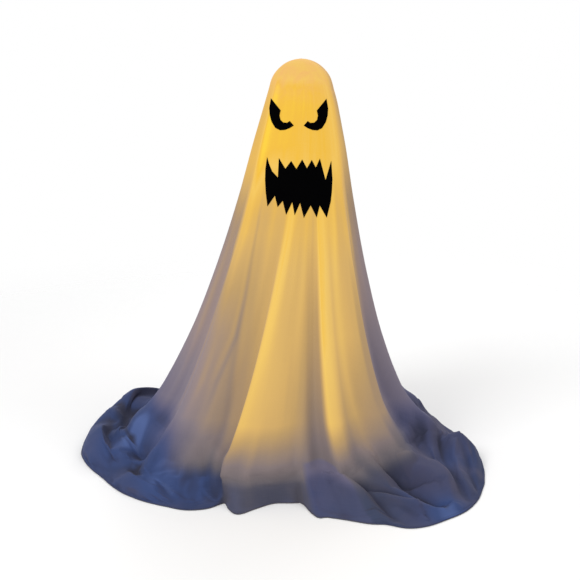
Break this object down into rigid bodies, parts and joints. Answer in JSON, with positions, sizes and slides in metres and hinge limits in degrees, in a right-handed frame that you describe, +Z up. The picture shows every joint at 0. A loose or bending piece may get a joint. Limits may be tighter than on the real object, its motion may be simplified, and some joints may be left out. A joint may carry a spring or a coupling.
{
  "type": "standing light-up ghost figure",
  "caption": "Standing light-up ghost: a draped cloth cover with a felt scowling face over a domed head, a light column and a legged stand; cover lifts off.",
  "frame": {"origin": "on the floor, on the axis of the pole: the centre of the flat underside of the hub", "axes": "+Z up along the pole, -Y towards the viewer of the face, +X to that viewer's right"},
  "size_m": [1.2584, 1.0609, 1.2],
  "materials": {
    "lit_cloth": "matte",
    "black_felt": "matte",
    "milky_plastic": "satin",
    "powder_coated_steel": "satin",
    "zinc_plated_steel": "satin",
    "black_moulding": "matte",
    "rubber": "matte",
    "lamp_case": "satin",
    "button_red": "satin",
    "cell_wrap": "satin",
    "led_board": "satin"
  },
  "bodies": {
    "stand": {"base_hub": "black_moulding", "hub_screw": "zinc_plated_steel", "base_leg_1": "powder_coated_steel", "base_leg_2": "powder_coated_steel", "base_leg_3": "powder_coated_steel", "base_leg_4": "powder_coated_steel", "leg_boot_1": "rubber", "leg_boot_2": "rubber", "leg_boot_3": "rubber", "leg_boot_4": "rubber", "leg_screw_1": "zinc_plated_steel", "leg_screw_2": "zinc_plated_steel", "leg_screw_3": "zinc_plated_steel", "leg_screw_4": "zinc_plated_steel", "pole_lower": "powder_coated_steel", "pole_upper": "powder_coated_steel", "pole_collar": "black_moulding", "pole_plug": "black_moulding", "pole_snap_spring": "zinc_plated_steel", "head_dome": "milky_plastic", "head_tray": "lamp_case", "tray_screw": "zinc_plated_steel", "lamp_housing": "lamp_case", "housing_lid": "lamp_case", "lid_screw_1": "zinc_plated_steel", "lid_screw_2": "zinc_plated_steel", "lid_screw_3": "zinc_plated_steel", "door_hinge_pin": "zinc_plated_steel", "battery_tray": "lamp_case", "battery_cell_1": "cell_wrap", "battery_cell_2": "cell_wrap", "battery_cell_3": "cell_wrap", "contact_strip_lower": "zinc_plated_steel", "contact_strip_upper": "zinc_plated_steel", "push_switch": "black_moulding", "light_tube": "milky_plastic", "light_tube_cap": "lamp_case", "led_strip_1": "led_board", "led_strip_2": "led_board", "led_strip_3": "led_board"},
    "cover": {"ghost_cover": "lit_cloth", "eye_left": "black_felt", "eye_right": "black_felt", "mouth": "black_felt"},
    "battery_door": {"battery_door": "lamp_case"},
    "power_button": {"power_button": "button_red"},
    "snap_button": {"pole_snap_button": "zinc_plated_steel"}
  },
  "joints": [
    {"name": "cover_lift", "type": "slide", "parent": "stand", "child": "cover", "axis": [0, 0, 1], "range_m": [0, 1.22]},
    {"name": "battery_door_hinge", "type": "hinge", "parent": "stand", "child": "battery_door", "pos_m": [-0.03233, 0.03853, 0.3643], "axis": [0, 0, 1], "range_deg": [0, 105]},
    {"name": "power_button_press", "type": "slide", "parent": "stand", "child": "power_button", "axis": [0, 1, 0], "range_m": [0, 0.0015], "stiffness_N_per_m": 600, "springref_m": -0.001},
    {"name": "snap_button_press", "type": "slide", "parent": "stand", "child": "snap_button", "axis": [-1, 0, 0], "range_m": [0, 0.0032], "stiffness_N_per_m": 800, "springref_m": -0.002, "deforming": ["pole_snap_spring"]}
  ]
}
